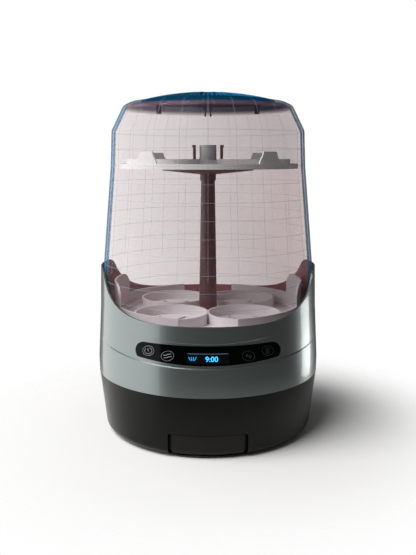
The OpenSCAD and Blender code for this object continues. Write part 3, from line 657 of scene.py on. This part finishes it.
def display_prints():
    """The clock reading, the steam symbol beside it and the line over both."""
    digits = text_mesh("9:00", 7.6)
    bmesh.ops.translate(digits, verts=digits.verts, vec=(3.8, 110.0, 0))
    on_band(digits)
    piece("display_numerals", digits, "base", DIGIT_LIGHT, smooth=False)
    steam = bmesh.new()
    middle = -15.7
    for tip in (-19.7, -17.0, -14.4, -11.7):
        ribbon(steam, [((middle + tip) / 2, 108.6), (tip, 112.4)], 0.38)
    on_band(steam)
    piece("steam_symbol", steam, "base", DIGIT_LIGHT, smooth=False)
    line = bmesh.new()
    end = 20.4
    steps = 24
    ribbon(line, [(-end + 2 * end * i / steps, 115.7) for i in range(steps + 1)], 0.5)
    on_band(line)
    piece("display_top_line", line, "base", PANEL_LIGHT, smooth=False)


grey_housing()
clear_lid()
lid_lines()
cap_ribs()
key_prints()
display_prints()


# ---- floor, lights and camera ----------------------------------------------------

# floor, in metres: its radius, and where it starts and ends its fade
FLOOR_R = 0.4
FLOOR_FADE = (0.13, 0.36)
# brightness of the room as the object gets it and as the camera sees it
ROOM_LIGHT = 0.08
ROOM_SEEN = 1.0
# the camera's lens and its place and tilt, in millimetres, metres and degrees
LENS = 45.5
CAMERA_PLACE = (0, -0.807, 0.309)
CAMERA_DOWN = 9.58


def fading_floor():
    """Matt white laminate that thins out to nothing away from the object."""
    mat, tree, place = blank("matt_white_laminate")
    away = add(tree, "ShaderNodeVectorMath", {"operation": "LENGTH"}, {0: place}).outputs["Value"]
    near, far = FLOOR_FADE
    cover = add(tree, "ShaderNodeMapRange",
                {"From Min": near, "From Max": far, "To Min": 1.0, "To Max": 0.0,
                 "interpolation_type": "SMOOTHERSTEP"},
                {"Value": away}).outputs[0]
    shader = add(tree, "ShaderNodeBsdfPrincipled",
                 {"Base Color": colour("#f9f8f7"), "Roughness": 0.7, "Specular IOR Level": 0.1},
                 {"Alpha": cover})
    add(tree, "ShaderNodeOutputMaterial", None, {"Surface": shader.outputs[0]})
    return mat


def studio():
    """A small pale floor, and a white room that looks bright but lights the object only faintly."""
    bm = bmesh.new()
    bmesh.ops.create_circle(bm, cap_ends=True, segments=96, radius=FLOOR_R)
    mesh = bpy.data.meshes.new("floor")
    bm.to_mesh(mesh)
    bm.free()
    floor = bpy.data.objects.new("floor", mesh)
    bpy.context.scene.collection.objects.link(floor)
    mesh.materials.append(fading_floor())

    world = bpy.data.worlds.new("studio")
    bpy.context.scene.world = world
    world.use_nodes = True
    tree = world.node_tree
    tree.nodes.clear()
    seen = add(tree, "ShaderNodeLightPath").outputs["Is Camera Ray"]
    level = add(tree, "ShaderNodeMapRange", {"To Min": ROOM_LIGHT, "To Max": ROOM_SEEN}, {"Value": seen})
    sky = add(tree, "ShaderNodeBackground", {"Color": colour("#ffffff")}, {"Strength": level.outputs[0]})
    add(tree, "ShaderNodeOutputWorld", None, {"Surface": sky.outputs[0]})


def area_light(name, place, aim, size, energy):
    """A flat lamp of a given width and height, turned towards a point."""
    data = bpy.data.lights.new(name, "AREA")
    data.shape = "RECTANGLE"
    data.size, data.size_y = size
    data.energy = energy
    obj = bpy.data.objects.new(name, data)
    obj.location = place
    obj.rotation_euler = (Vector(aim) - Vector(place)).to_track_quat("-Z", "Y").to_euler()
    bpy.context.scene.collection.objects.link(obj)


def sun_light(name, source, strength, spread):
    """A broad sky light from one direction, which keeps the floor evenly pale."""
    data = bpy.data.lights.new(name, "SUN")
    data.energy = strength
    data.angle = math.radians(spread)
    obj = bpy.data.objects.new(name, data)
    obj.rotation_euler = (-Vector(source)).to_track_quat("-Z", "Y").to_euler()
    bpy.context.scene.collection.objects.link(obj)


def camera():
    """The view from in front and a little above."""
    data = bpy.data.cameras.new("camera")
    data.sensor_width = 36
    data.lens = LENS
    obj = bpy.data.objects.new("camera", data)
    obj.location = CAMERA_PLACE
    obj.rotation_euler = (math.radians(90 - CAMERA_DOWN), 0, 0)
    bpy.context.scene.collection.objects.link(obj)
    bpy.context.scene.camera = obj


studio()
sun_light("sky_left", source=(-0.55, -0.35, 1.0), strength=2.7, spread=40)
area_light("key_left", place=(-1.1, 0.15, 0.25), aim=(0, 0.15, 0.25), size=(2.3, 1.9), energy=17)
area_light("right_strip", place=(0.9, 0.45, -0.12), aim=(0, 0, 0), size=(0.34, 0.22), energy=0.9)
camera()
bpy.context.scene.view_settings.view_transform = "Standard"
